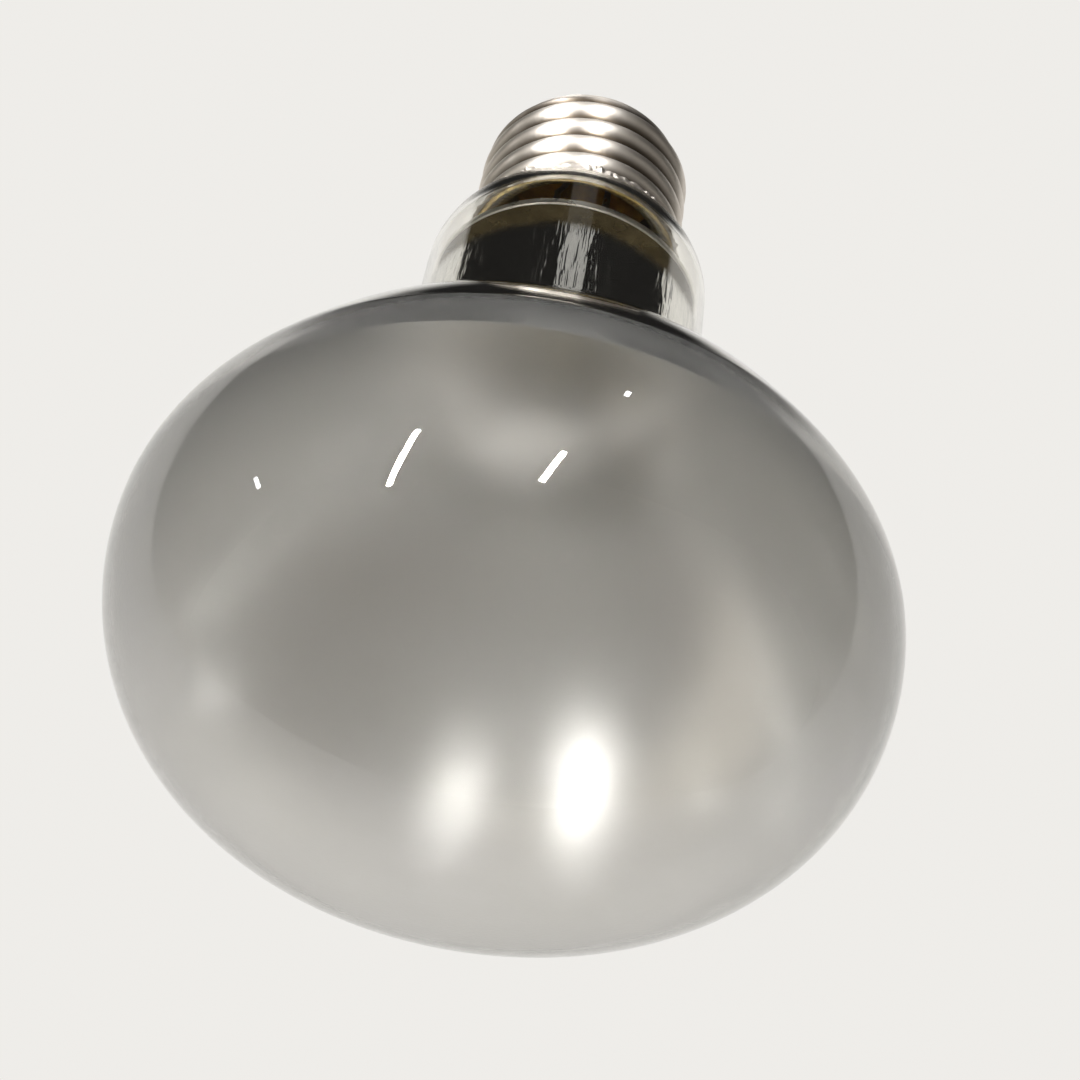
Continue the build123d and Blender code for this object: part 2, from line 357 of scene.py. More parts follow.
@dataclass(frozen=True)
class Glass(Finish):
    """Glass that light passes through, smooth or etched."""

    index: float = 1.5

    def dress(self, bench: Bench, shader: Node) -> None:
        """Add the transmission to the shared finish."""
        super().dress(bench, shader)
        bench.feed(shader, Transmission_Weight=1.0, IOR=self.index)


@dataclass(frozen=True)
class Metal(Finish):
    """Bare metal."""

    def dress(self, bench: Bench, shader: Node) -> None:
        """Make the shared finish metallic."""
        super().dress(bench, shader)
        bench.feed(shader, Metallic=1.0)


@dataclass(frozen=True)
class ThreadPlate(Metal):
    """Plated screw shell with painted shade in its grooves."""

    # Colour of the painted shade that darkens the grooves.
    groove_shade: Colour = (0.1, 0.08, 0.06)
    root: float = 12.1 * MM
    crest: float = 12.95 * MM
    bare_from: float = -9.6 * MM
    bare_to: float = -8.6 * MM
    brushed: float = 0.85
    brush_turn: float = 0.25

    def dress(self, bench: Bench, shader: Node) -> None:
        """Paint shade into the grooves up to the bare end, and brush the plate round the axis."""
        super().dress(bench, shader)
        plate = shader.inputs["Base Color"].links[0].from_socket
        # Painted shade: the plate darkens towards the groove roots, except near the bare end.
        rise = SHELF.place(bench, Effect.RADIUS_BAND, Inner=self.root, Outer=self.crest)
        grooved = SHELF.place(bench, Effect.LEVEL_FADE, Bottom=self.bare_from, Top=self.bare_to)
        unshaded = bench.math("MAXIMUM", rise, bench.math("SUBTRACT", 1.0, grooved))
        bench.feed(shader, Base_Color=bench.mix(unshaded, self.groove_shade, plate))
        around = bench.add("ShaderNodeTangent", direction_type="RADIAL", axis="Z")
        bench.feed(shader, Anisotropic=self.brushed, Anisotropic_Rotation=self.brush_turn)
        bench.feed(shader, Tangent=around.outputs[0])


@dataclass(frozen=True)
class MirrorCoat(Metal):
    """Metal film laid inside the glass, which thins out at its upper edge."""

    edge_bottom: float = 0.0
    edge_top: float = 0.01
    edge_tilt: float = 0.0
    edge_dip: float = 0.0
    edge_ragged: float = 1.0 * MM
    edge_scale: float = 400.0
    wrinkle_bottom: float = 0.0
    wrinkle_top: float = 0.01
    wrinkle_depth: float = 0.2 * MM
    wrinkle_scale: float = 650.0

    def height(self, bench: Bench) -> Socket:
        """Height of the fine grain, with upright wrinkles where the film runs up the neck."""
        below = SHELF.place(bench, Effect.LEVEL_FADE, Bottom=self.wrinkle_bottom, Top=self.wrinkle_top)
        size = {"Scale": self.wrinkle_scale, "Stretch": self.grain_stretch, "Depth": self.wrinkle_depth}
        wrinkle = SHELF.place(bench, Effect.GRAIN, **size)
        on_neck = bench.math("MULTIPLY", wrinkle, bench.ramp(below, 1.0, 0.0))
        return bench.math("ADD", super().height(bench), on_neck)

    def dress(self, bench: Bench, shader: Node) -> None:
        """Fade the film away at its upper edge."""
        super().dress(bench, shader)
        edge = {"Bottom": self.edge_bottom, "Top": self.edge_top, "Tilt": self.edge_tilt}
        rough = {"Dip": self.edge_dip, "Ragged": self.edge_ragged, "Scale": self.edge_scale}
        bench.feed(shader, Alpha=SHELF.place(bench, Effect.LEVEL_FADE, **edge, **rough))


@dataclass(frozen=True)
class Varnished(Finish):
    """Opaque body under a clear coat."""

    coat: float = 0.3
    coat_rough: float = 0.15

    def dress(self, bench: Bench, shader: Node) -> None:
        """Add the clear coat to the shared finish."""
        super().dress(bench, shader)
        bench.feed(shader, Coat_Weight=self.coat, Coat_Roughness=self.coat_rough)


@dataclass(frozen=True)
class FloorPaint(Finish):
    """Matt floor that stays pale where the viewer, metal or glass sees it."""

    seen_pale: float = 0.4
    mirrored_pale: float = 0.03

    def dress(self, bench: Bench, shader: Node) -> None:
        """Lift the floor's own colour for the rays that show it as background."""
        super().dress(bench, shader)
        path = bench.add("ShaderNodeLightPath").outputs
        mirrored = bench.math("ADD", path["Is Glossy Ray"], path["Is Transmission Ray"])
        seen = bench.math("MULTIPLY", path["Is Camera Ray"], self.seen_pale)
        lift = bench.math("ADD", seen, bench.math("MULTIPLY", mirrored, self.mirrored_pale))
        bench.feed(shader, Emission_Color=(*self.pale, 1.0), Emission_Strength=lift)


BLOWN_GLASS = Glass(
    "blown_glass", (0.965, 0.955, 0.93), (0.935, 0.925, 0.88), 0.0, 0.02, 60.0,
    grain_scale=90.0, grain_depth=0.01 * MM,
)
ETCHED_GLASS = Glass(
    "etched_glass", (0.975, 0.965, 0.958), (0.935, 0.925, 0.918), 0.34, 0.4, 70.0, grain_depth=0.004 * MM
)
STEM_GLASS = Glass("drawn_glass", (0.96, 0.94, 0.86), (0.9, 0.86, 0.74), 0.02, 0.08, 150.0, grain_scale=200.0)
MIRROR_COAT = MirrorCoat(
    "mirror_coat", (0.9, 0.9, 0.89), (0.82, 0.82, 0.81), 0.03, 0.09, 90.0, 0.3,
    grain_scale=1300.0, grain_stretch=0.12,
)
NICKEL_PLATE = ThreadPlate(
    "nickel_plate", (0.78, 0.73, 0.67), (0.64, 0.59, 0.53), 0.36, 0.42, 260.0,
    grain_scale=1800.0, grain_depth=0.008 * MM,
)
STAINED_PLATE = Finish("stained_plate", (0.4, 0.3, 0.12), (0.22, 0.16, 0.06), 0.5, 0.75, 240.0)
STAINED_MOULDING = Finish("stained_moulding", (0.95, 0.62, 0.17), (0.55, 0.35, 0.09), 0.5, 0.75, 300.0)
NICKEL_WIRE = Metal("nickel_wire", (0.66, 0.63, 0.58), (0.45, 0.42, 0.38), 0.22, 0.4, 500.0)
TUNGSTEN = Metal("tungsten_coil", (0.36, 0.35, 0.34), (0.2, 0.19, 0.19), 0.35, 0.55, 900.0)
# Heat shield: one metal in a shaded and a lit copy, the face darkened with painted shade and dark reflection,
# the edge kept bright.
SHADED_SHIELD_FACE = Metal("shield_face_painted_shade", (0.22, 0.18, 0.1), (0.12, 0.095, 0.05), 0.2, 0.36, 200.0)
LIT_SHIELD_EDGE = Metal("shield_edge_painted_lit", (0.88, 0.86, 0.81), (0.7, 0.67, 0.6), 0.24, 0.4, 600.0)
CONTACT_BRASS = Metal("contact_brass", (0.72, 0.6, 0.36), (0.5, 0.4, 0.22), 0.25, 0.45, 300.0)
SOLDER = Metal("dull_solder", (0.66, 0.66, 0.65), (0.42, 0.42, 0.42), 0.35, 0.6, 500.0)
CEMENT = Finish(
    "baked_cement", (0.55, 0.41, 0.16), (0.28, 0.2, 0.07), 0.75, 0.95, 350.0,
    grain_scale=1500.0, grain_depth=0.3 * MM,
)
SLEEVE_FIBRE = Varnished("varnished_fibre", (0.6, 0.48, 0.17), (0.38, 0.28, 0.09), 0.4, 0.6, 300.0, 0.2)
BLACK_GLASS = Varnished("black_moulded_glass", (0.022, 0.022, 0.025), (0.05, 0.048, 0.05), 0.12, 0.3, 200.0)
PALE_FLOOR = FloorPaint(
    "pale_floor", (0.85, 0.83, 0.79), (0.8, 0.78, 0.74), 0.6, 0.75, 8.0, grain_scale=400.0
)


def smooth_step(low: float, high: float, value: float) -> float:
    """Ease from 0 at low to 1 at high."""
    share = min(1.0, max(0.0, (value - low) / (high - low)))
    return share * share * (3 - 2 * share)


def polar(centre: Point, radius: float, angle: float) -> Point:
    """Point of a circle, with the angle measured from the radius direction."""
    return centre[0] + radius * math.cos(angle), centre[1] + radius * math.sin(angle)


def arc(centre: Point, radius: float, start: float, end: float, count: int) -> Outline:
    """Points along an arc between two angles in radians, with both ends."""
    return [polar(centre, radius, start + (end - start) * step / count) for step in range(count + 1)]


def run(start: Point, end: Point, count: int) -> Outline:
    """Points along a straight run, with both ends."""
    return [
        (start[0] + (end[0] - start[0]) * step / count, start[1] + (end[1] - start[1]) * step / count)
        for step in range(count + 1)
    ]


def without_doubles(outline: Outline) -> Outline:
    """The outline with each repeated point dropped."""
    kept = outline[:1]
    for point in outline[1:]:
        if math.dist(point, kept[-1]) > SAME_POINT:
            kept.append(point)
    return kept


def softened(corners: Outline, cut: float, count: int = 4) -> Outline:
    """Closed outline whose corners off the axis are rounded.

    Args:
        corners: the corners, as radius and height.
        cut: how far from each corner its rounding starts, at most.
        count: steps round each corner.

    Returns:
        The rounded outline's points.
    """
    points: Outline = []
    for place, corner in enumerate(corners):
        if corner[0] < ON_AXIS:
            points.append(corner)
            continue
        tip, before, after = (Vector(corners[spot % len(corners)]) for spot in (place, place - 1, place + 1))
        start, end = (tip.lerp(other, min(MAX_CUT, cut / (other - tip).length)) for other in (before, after))
        for step in range(count + 1):
            share = step / count
            points.append(tuple(start.lerp(tip, share).lerp(tip.lerp(end, share), share)))
    return points


def ripple(angle: float, scale: float, layer: float = 0.0) -> float:
    """Smooth random wave round the axis, between about -1 and 1."""
    return noise.noise(Vector((math.cos(angle) * scale, math.sin(angle) * scale, layer)))


def where_in(points: set[Point]) -> Callable[[Point, Point], int]:
    """Rule that picks the second finish where both ends of a band are among the points."""
    return lambda low, high: int(low in points and high in points)


def spin(
    name: str,
    outline_at: Callable[[float], Outline],
    segments: int,
    finishes: list[Finish],
    finish_of: Callable[[Point, Point], int] = lambda low, high: 0,
    sharp: float = 40.0,
) -> bpy.types.Object:
    """Turn a closed outline round the lamp axis into a closed mesh.

    Args:
        name: name of the piece.
        outline_at: gives the outline at an angle, with the same number of points each time.
        segments: steps round the axis.
        finishes: the materials' finishes.
        finish_of: picks a finish for the band between two neighbouring points.
        sharp: edges that bend by more degrees than this stay sharp.

    Returns:
        The new object, in the scene and dressed.
    """
    rings = [outline_at(FULL_TURN * step / segments) for step in range(segments)]
    first = rings[0]
    vertices: list[tuple[float, float, float]] = []
    index: list[list[int]] = []
    for place, (radius, height) in enumerate(first):
        if radius < ON_AXIS:
            index.append([len(vertices)] * segments)
            vertices.append((0.0, 0.0, height))
            continue
        index.append(list(range(len(vertices), len(vertices) + segments)))
        for step, ring in enumerate(rings):
            angle = FULL_TURN * step / segments
            r, z = ring[place]
            vertices.append((r * math.cos(angle), r * math.sin(angle), z))
    on_axis = max(first[0][0], first[-1][0]) < ON_AXIS
    pairs = list(zip(range(len(first)), range(1, len(first))))
    if not on_axis:
        pairs.append((len(first) - 1, 0))
    faces: list[tuple[int, ...]] = []
    marks: list[int] = []
    for low, high in pairs:
        mark = finish_of(first[low], first[high])
        for step in range(segments):
            after = (step + 1) % segments
            corners = (index[low][step], index[low][after], index[high][after], index[high][step])
            faces.append(tuple(dict.fromkeys(corners)))
            marks.append(mark)
    mesh = bpy.data.meshes.new(name)
    mesh.from_pydata(vertices, [], faces)
    for finish in finishes:
        mesh.materials.append(finish.make())
    mesh.polygons.foreach_set("material_index", marks)
    return finish_mesh(name, mesh, sharp)


def finish_mesh(name: str, mesh: bpy.types.Mesh, sharp: float) -> bpy.types.Object:
    """Turn a mesh's faces outwards, shade it and put it in the scene.

    Args:
        name: name of the piece.
        mesh: the closed mesh.
        sharp: edges that bend by more degrees than this stay sharp.

    Returns:
        The new object.
    """
    shape = bmesh.new()
    shape.from_mesh(mesh)
    bmesh.ops.recalc_face_normals(shape, faces=shape.faces)
    shape.to_mesh(mesh)
    shape.free()
    mesh.polygons.foreach_set("use_smooth", [True] * len(mesh.polygons))
    mesh.set_sharp_from_angle(angle=math.radians(sharp))
    piece = bpy.data.objects.new(name, mesh)
    bpy.context.scene.collection.objects.link(piece)
    return piece


def set_in_frame(piece: bpy.types.Object, slot: str, *nodes: str) -> None:
    """Let a piece ride on the lamp, and hide the nodes it stands for.

    Args:
        piece: the new piece.
        slot: the record's material slot; not used.
        *nodes: CAD nodes that the piece replaces.
    """
    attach(piece, BODY)
    if nodes:
        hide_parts(*nodes)
    LOG.info("%s: %d faces", piece.name, len(piece.data.polygons))


def dress_node(name: str, finish: Finish) -> None:
    """Give a CAD node its finish."""
    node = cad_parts[name]
    for slot in node.material_slots:
        slot.material = finish.make()
    LOG.info("%s: dressed in %s", name, finish.name)


@dataclass
class Envelope:
    """Blown glass envelope: clear outside, etched inside the front and mirrored inside the back."""

    front_radius: float = 80.0 * MM
    front_shoulder_radius: float = 22.4 * MM
    back_shoulder_radius: float = 15.7 * MM
    back_shoulder_angle: float = math.radians(27.6)
    reflector_radius: float = 66.4 * MM
    neck_r: float = 17.0 * MM
    neck_length: float = 19.0 * MM
    neck_foot_radius: float = 8.7 * MM
    neck_top_radius: float = 8.0 * MM
    neck_top_height: float = 7.0 * MM
    seal_r: float = 11.2 * MM
    seal_blend_radius: float = 2.0 * MM
    wall: float = 0.8 * MM
    frost_rise: float = 7.6 * MM
    film_rise: float = 1.2 * MM
    film_gap: float = 0.02 * MM
    film_thickness: float = 0.04 * MM
    film_end: float = 9.1 * MM
    film_fade: float = 2.2 * MM
    film_tilt: float = 0.07
    film_dip: float = 5.5 * MM
    steps: tuple[int, ...] = (26, 28, 14, 22, 14, 14, 18, 8, 3)
    segments: int = 224
    bulb_r: float = field(init=False)
    seal: float = field(init=False)
    neck_top: float = field(init=False)
    neck_foot: float = field(init=False)
    foot_angle: float = field(init=False)
    equator: float = field(init=False)
    reflector: Point = field(init=False)

    def __post_init__(self) -> None:
        """Take the bulb's radius and the levels from the frame."""
        low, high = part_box("glass_envelope")
        self.bulb_r = (high[0] - low[0]) / 2
        self.seal = high[2]
        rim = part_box("screw_shell")[0][2]
        self.neck_top = rim - self.neck_top_height
        reach = self.reflector_radius - self.back_shoulder_radius
        self.reflector = (
            self.bulb_r - self.back_shoulder_radius - reach * math.cos(self.back_shoulder_angle),
            -reach * math.sin(self.back_shoulder_angle),
        )
        foot_reach = self.neck_r + self.neck_foot_radius - self.reflector[0]
        foot_rise = math.sqrt((self.reflector_radius + self.neck_foot_radius) ** 2 - foot_reach**2)
        self.foot_angle = math.atan2(foot_rise, foot_reach)
        self.neck_foot = self.neck_top - self.neck_length
        self.equator = self.neck_foot - foot_rise - self.reflector[1]

    def outline(self, inset: float) -> Outline:
        """Outline from the front pole to the seal.

        Args:
            inset: how far it lies inside the outer surface.

        Returns:
            Points as radius and height.
        """
        front_shoulder = (self.bulb_r - self.front_shoulder_radius, self.equator)
        front_reach = self.front_radius - self.front_shoulder_radius
        front_level = self.equator + math.sqrt(front_reach**2 - front_shoulder[0] ** 2)
        front_angle = math.atan2(self.equator - front_level, front_shoulder[0])
        back = (self.bulb_r - self.back_shoulder_radius, self.equator)
        reflector = (self.reflector[0], self.equator + self.reflector[1])
        foot = (self.neck_r + self.neck_foot_radius, self.neck_foot)
        top = (self.neck_r - self.neck_top_radius, self.neck_top)
        blend_reach = self.neck_top_radius + self.seal_blend_radius
        blend_angle = math.acos((self.seal_r + self.seal_blend_radius - top[0]) / blend_reach)
        blend = polar(top, blend_reach, blend_angle)
        neck = self.neck_r - inset
        end = self.seal_r - inset
        steps = iter(self.steps)
        back_angle = self.back_shoulder_angle
        points = [
            *arc((0.0, front_level), self.front_radius - inset, -HALF_TURN / 2, front_angle, next(steps)),
            *arc(front_shoulder, self.front_shoulder_radius - inset, front_angle, 0.0, next(steps)),
            *arc(back, self.back_shoulder_radius - inset, 0.0, back_angle, next(steps)),
            *arc(reflector, self.reflector_radius - inset, back_angle, self.foot_angle, next(steps)),
            *arc(foot, self.neck_foot_radius + inset, HALF_TURN + self.foot_angle, HALF_TURN, next(steps)),
            *run((neck, self.neck_foot), (neck, self.neck_top), next(steps)),
            *arc(top, self.neck_top_radius - inset, 0.0, blend_angle, next(steps)),
            *arc(blend, self.seal_blend_radius + inset, HALF_TURN + blend_angle, HALF_TURN, next(steps)),
            *run((end, blend[1]), (end, self.seal), next(steps)),
        ]
        points[0] = (0.0, points[0][1])
        return without_doubles(points)

    def build_glass(self) -> None:
        """Make the glass shell, etched inside the front."""
        outside = self.outline(0.0)
        inside = self.outline(self.wall)
        frost_level = self.equator + self.frost_rise
        etched = {point for point in inside if point[1] < frost_level}
        outline = outside + inside[::-1]
        finishes = [BLOWN_GLASS, ETCHED_GLASS]
        shell = spin("blown_envelope", lambda angle: outline, self.segments, finishes, where_in(etched))
        set_in_frame(shell, "envelope_glass", "glass_envelope")

    def build_film(self) -> None:
        """Make the mirror film inside the back and the neck."""
        bottom = self.equator + self.film_rise
        edge = self.neck_top - self.film_end
        top = edge + self.film_tilt * self.neck_r + self.film_fade
        coat = replace(
            MIRROR_COAT,
            edge_bottom=edge - self.film_fade / 2,
            edge_top=edge + self.film_fade / 2,
            edge_tilt=self.film_tilt,
            edge_dip=self.film_dip,
            wrinkle_bottom=self.neck_foot - self.neck_foot_radius / 2,
            wrinkle_top=self.neck_foot,
        )
        inset = self.wall + self.film_gap
        outer, inner = (
            [point for point in self.outline(depth) if bottom <= point[1] <= top]
            for depth in (inset, inset + self.film_thickness)
        )
        outline = outer + inner[::-1]
        film = spin("mirror_film", lambda angle: outline, self.segments, [coat])
        set_in_frame(film, "shield_metal")

    def build(self) -> None:
        """Build the glass and its film."""
        self.build_glass()
        self.build_film()


@dataclass
class ScrewShell:
    """Rolled screw shell with a round-crested right-hand thread and a rough rim."""

    pitch: float = 3.629 * MM
    crest_r: float = 13.15 * MM
    root_r: float = 12.05 * MM
    start_angle: float = math.radians(-125.0)
    skirt_proud: float = 0.2 * MM
    skirt_length: float = 1.5 * MM
    skirt_step: float = 0.9 * MM
    fade: float = 1.3 * MM
    corner: float = 1.0 * MM
    lip_r: float = 9.8 * MM
    sheet: float = 0.3 * MM
    rough_height: float = 2.6 * MM
    rough_depth: float = 0.3 * MM
    rough_size: float = 0.8 * MM
    rough_inward: float = 0.4
    rough_full: float = 0.7
    edge_wave: float = 0.3 * MM
    edge_ripple: float = 4.0
    sharp: float = 55.0
    segments: int = 360
    rows_per_pitch: int = 24
    corner_steps: int = 8
    lip_steps: int = 2
    rim: float = field(init=False)
    top: float = field(init=False)

    def __post_init__(self) -> None:
        """Take the levels from the frame."""
        low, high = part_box("screw_shell")
        self.rim = low[2]
        self.top = high[2]

    def thread_r(self, height: float, angle: float) -> float:
        """Radius of the rolled wave, whose crests and roots are equal arcs.

        Args:
            height: level on the axis.
            angle: angle round the axis.

        Returns:
            The radius there.
        """
        depth = self.crest_r - self.root_r
        quarter = self.pitch / 4
        bend = 2 * math.atan2(depth / 2, quarter)
        round_r = quarter / math.sin(bend)
        turns = (height - self.rim) / self.pitch - (angle - self.start_angle) / FULL_TURN
        off = abs(turns - round(turns)) * self.pitch
        if off < quarter:
            return self.crest_r - round_r + math.sqrt(round_r**2 - off**2)
        return self.root_r + round_r - math.sqrt(round_r**2 - (2 * quarter - off) ** 2)

    def wall_r(self, height: float, angle: float) -> float:
        """Outer radius of the shell, from the skirt through the thread to the corner."""
        wave = self.thread_r(height, angle)
        corner_start = self.top - self.corner
        gone = smooth_step(corner_start - self.fade, corner_start, height)
        wave += (self.root_r - wave) * gone
        skirt_end = self.rim + self.skirt_length
        risen = smooth_step(skirt_end, skirt_end + self.skirt_step, height)
        skirt = self.crest_r + self.skirt_proud
        return skirt + (wave - skirt) * risen

    def roughened(self, radius: float, height: float, angle: float) -> float:
        """Radius with the small lumps and dents of the rim added."""
        fading = self.rim + self.rough_full * self.rough_height
        share = 1 - smooth_step(fading, self.rim + self.rough_height, height)
        if share <= 0:
            return radius
        spot = Vector((radius * math.cos(angle), radius * math.sin(angle), height)) / self.rough_size
        return radius + self.rough_depth * share * (2 * abs(noise.noise(spot)) - self.rough_inward)

    def levels(self, angle: float) -> list[float]:
        """Heights of the wall's points at an angle, from the uneven edge to the corner."""
        low_edge = self.rim + self.edge_wave * (0.5 + 0.5 * ripple(angle, self.edge_ripple))
        corner_start = self.top - self.corner
        rows = round(self.rows_per_pitch * (corner_start - self.rim) / self.pitch)
        return [low_edge + (corner_start - low_edge) * row / rows for row in range(rows + 1)]

    def outside(self, angle: float) -> Outline:
        """Outer face of the sheet at an angle, from the uneven edge to the lip."""
        wall = [(self.roughened(self.wall_r(z, angle), z, angle), z) for z in self.levels(angle)]
        pivot = (self.root_r - self.corner, self.top - self.corner)
        over = arc(pivot, self.corner, 0.0, HALF_TURN / 2, self.corner_steps)
        lip = run((pivot[0], self.top), (self.lip_r, self.top), self.lip_steps)
        return without_doubles([*wall, *over[1:], *lip[1:]])

    def inside(self, angle: float) -> Outline:
        """Inner face of the sheet at an angle, from the lip to the uneven edge."""
        wall = [(self.wall_r(z, angle) - self.sheet, z) for z in self.levels(angle)]
        pivot = (self.root_r - self.corner, self.top - self.corner)
        under = arc(pivot, self.corner - self.sheet, 0.0, HALF_TURN / 2, self.corner_steps)
        level = self.top - self.sheet
        lip = run((self.lip_r, level), (pivot[0], level), self.lip_steps)
        return without_doubles([*lip, *under[::-1][1:], *wall[::-1][1:]])

    def build(self) -> None:
        """Build the shell and dress it, stained by the cement inside."""
        shell = spin(
            "threaded_shell",
            lambda angle: self.outside(angle) + self.inside(angle),
            self.segments,
            [NICKEL_PLATE, STAINED_PLATE],
            where_in(set(self.inside(0.0))),
            self.sharp,
        )
        set_in_frame(shell, "cap_metal", "screw_shell")


@dataclass
class HeatShield:
    """Pressed disc across the neck, with a rolled edge and a collar round the stem; its face is painted dark
    as shade and its edge painted bright as lit metal.
    """

    bore_r: float = 5.95 * MM
    thickness: float = 0.4 * MM
    edge_height: float = 1.0 * MM
    edge_wave: float = 0.16 * MM
    edge_ripple: float = 5.0
    edge_share: float = 1.2
    bead_r: float = 11.0 * MM
    bead_width: float = 0.9 * MM
    bead_rise: float = 0.35 * MM
    segments: int = 180
    edge_r: float = field(init=False)
    under: float = field(init=False)
    top: float = field(init=False)

    def __post_init__(self) -> None:
        """Take the radius and the levels from the frame."""
        low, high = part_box("heat_shield")
        self.edge_r = (high[0] - low[0]) / 2
        self.under = low[2]
        self.top = high[2]

    def outline_at(self, angle: float) -> Outline:
        """Closed outline of the sheet at an angle."""
        edge_top = self.under + self.edge_height + self.edge_wave * ripple(angle, self.edge_ripple)
        level = self.under + self.thickness
        collar = self.bore_r + self.thickness
        inner = self.edge_r - self.thickness
        bead = [(self.bead_r + side * self.bead_width, self.bead_rise * (side == 0)) for side in (-1, 0, 1)]
        return softened([
            (self.bore_r, self.under),
            *((r, self.under + rise) for r, rise in bead),
            (self.edge_r, self.under),
            (self.edge_r, edge_top),
            (inner, edge_top),
            (inner, level),
            *((r, level + rise) for r, rise in reversed(bead)),
            (collar, level),
            (collar, self.top),
            (self.bore_r, self.top),
        ], self.thickness / 2)

    def build(self) -> None:
        """Build the disc and dress it, its face painted dark as shade and dark reflection, its edge painted
        brighter as lit metal.
        """
        lit_edge_from = self.edge_r - self.edge_share * self.thickness
        edge = {point for point in self.outline_at(0.0) if point[0] > lit_edge_from}
        # Painted shade on the disc's face, painted light on its edge.
        finishes = [SHADED_SHIELD_FACE, LIT_SHIELD_EDGE]
        disc = spin("shield_disc", self.outline_at, self.segments, finishes, where_in(edge))
        set_in_frame(disc, "shield_metal", "heat_shield")


@dataclass
class CapEnd:
    """Moulded insulator, contact plate and solder at the cap's end."""

    lip_r: float = 9.8 * MM
    sheet: float = 0.3 * MM
    flange: float = 0.8 * MM
    foot: float = 0.7 * MM
    wall: float = 2.2 * MM
    top_r: float = 5.6 * MM
    step: float = 0.6 * MM
    hole_r: float = 1.3 * MM
    contact_r: float = 4.9 * MM
    dish: float = 0.12 * MM
    solder_r: float = 2.9 * MM
    lump: float = 0.14
    drop_ripple: float = 1.6
    drop_power: int = 4
    drop_steps: int = 12
    bead_ripple: float = 1.8
    bead_fineness: int = 4
    bead_sharp: float = 60.0
    corner_steps: int = 5
    segments: int = 120

    def build_insulator(self) -> None:
        """Mould the insulator, with rounded edges and an underside stained by the cement."""
        bottom, seat = (corner[2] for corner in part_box("insulator"))
        shell_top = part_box("screw_shell")[1][2]
        under_lip = shell_top - self.sheet
        outline = softened([
            (self.lip_r - self.wall, bottom),
            (self.lip_r + self.flange, bottom),
            (self.lip_r + self.flange, under_lip),
            (self.lip_r, under_lip),
            (self.lip_r, shell_top),
            (self.lip_r + self.foot, shell_top),
            (self.top_r + self.step, seat - self.step),
            (self.top_r, seat),
            (self.hole_r, seat),
            (self.hole_r, seat - self.wall),
            (self.top_r - self.wall, seat - self.wall),
        ], self.step, self.corner_steps)
        floor = bottom + self.dish
        inner_r = self.lip_r - self.wall + self.step
        ceiling = seat - self.wall + self.dish
        under = {(r, z) for r, z in outline if z < floor or (r < inner_r and z < ceiling)}
        finishes = [BLACK_GLASS, STAINED_MOULDING]
        piece = spin("moulded_insulator", lambda angle: outline, self.segments, finishes, where_in(under))
        set_in_frame(piece, "cap_insulator", "insulator")

    def build_contact(self) -> None:
        """Stamp the contact plate, dished a little round the solder."""
        low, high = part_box("centre_contact")
        outline = softened([
            (self.hole_r, low[2]),
            (self.contact_r, low[2]),
            (self.contact_r, high[2]),
            ((self.contact_r + self.solder_r) / 2, high[2]),
            (self.solder_r, high[2] - self.dish),
            (self.hole_r, high[2] - self.dish),
        ], self.dish * 2)
        piece = spin("contact_plate", lambda angle: outline, self.segments, [CONTACT_BRASS])
        set_in_frame(piece, "contact_metal", "centre_contact")

    def solder_outline(self, angle: float) -> Outline:
        """Outline of the uneven solder drop at an angle, from its crown to its foot."""
        low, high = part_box("centre_solder")
        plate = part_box("centre_contact")[1][2] - self.dish
        drop: Outline = []
        for step in range(self.drop_steps + 1):
            share = step / self.drop_steps
            swell = 1 + self.lump * share * ripple(angle, self.drop_ripple, share)
            height = plate + (high[2] - plate) * (1 - share**self.drop_power)
            drop.append((self.solder_r * share * swell, height))
        return [*drop, (self.hole_r, plate), (self.hole_r, low[2]), (0.0, low[2])]

    def build_centre_solder(self) -> None:
        """Set the solder drop on the plate."""
        piece = spin("solder_drop", self.solder_outline, self.segments, [SOLDER])
        set_in_frame(piece, "solder", "centre_solder")

    def build_side_solder(self) -> None:
        """Set the uneven solder bead over the end of the side lead."""
        low, high = (Vector(corner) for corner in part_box("side_solder"))
        middle, half = (low + high) / 2, (high - low) / 2
        shape = bmesh.new()
        bmesh.ops.create_icosphere(shape, subdivisions=self.bead_fineness, radius=1.0)
        for vertex in shape.verts:
            swell = 1 + self.lump * noise.noise(vertex.co * self.bead_ripple)
            vertex.co = middle + Vector(way * size for way, size in zip(vertex.co, half)) * swell
        mesh = bpy.data.meshes.new("solder_bead")
        shape.to_mesh(mesh)
        shape.free()
        mesh.materials.append(SOLDER.make())
        set_in_frame(finish_mesh("solder_bead", mesh, self.bead_sharp), "solder", "side_solder")

    def build(self) -> None:
        """Build the insulator, the plate and both solders."""
        self.build_insulator()
        self.build_contact()
        self.build_centre_solder()
        self.build_side_solder()


@dataclass(frozen=True)
class Strip:
    """Strip light between two directions from the lamp, each an azimuth and elevation in degrees."""

    name: str
    first: Point
    last: Point
    width: float
    radiance: float
    through_only: bool = False


STRIPS = (
    Strip("left_strip", (-28.5, -6.8), (-38.2, -29.5), 0.0145, 1000.0),
    Strip("left_glow", (-28.5, -6.8), (-38.2, -29.5), 0.05, 15.0, through_only=True),
    Strip("right_strip", (6.8, -10.9), (3.0, -26.0), 0.0145, 900.0),
    Strip("right_glow", (6.8, -10.9), (3.0, -26.0), 0.04, 15.0, through_only=True),
    Strip("ceiling_lamp", (1.0, 50.0), (3.0, 70.0), 0.12, 0.55, through_only=True),
    Strip("side_lamp", (-71.3, -6.5), (-71.3, -11.5), 0.012, 40.0),
    Strip("high_lamp", (18.7, 23.0), (19.7, 26.0), 0.012, 40.0),
)


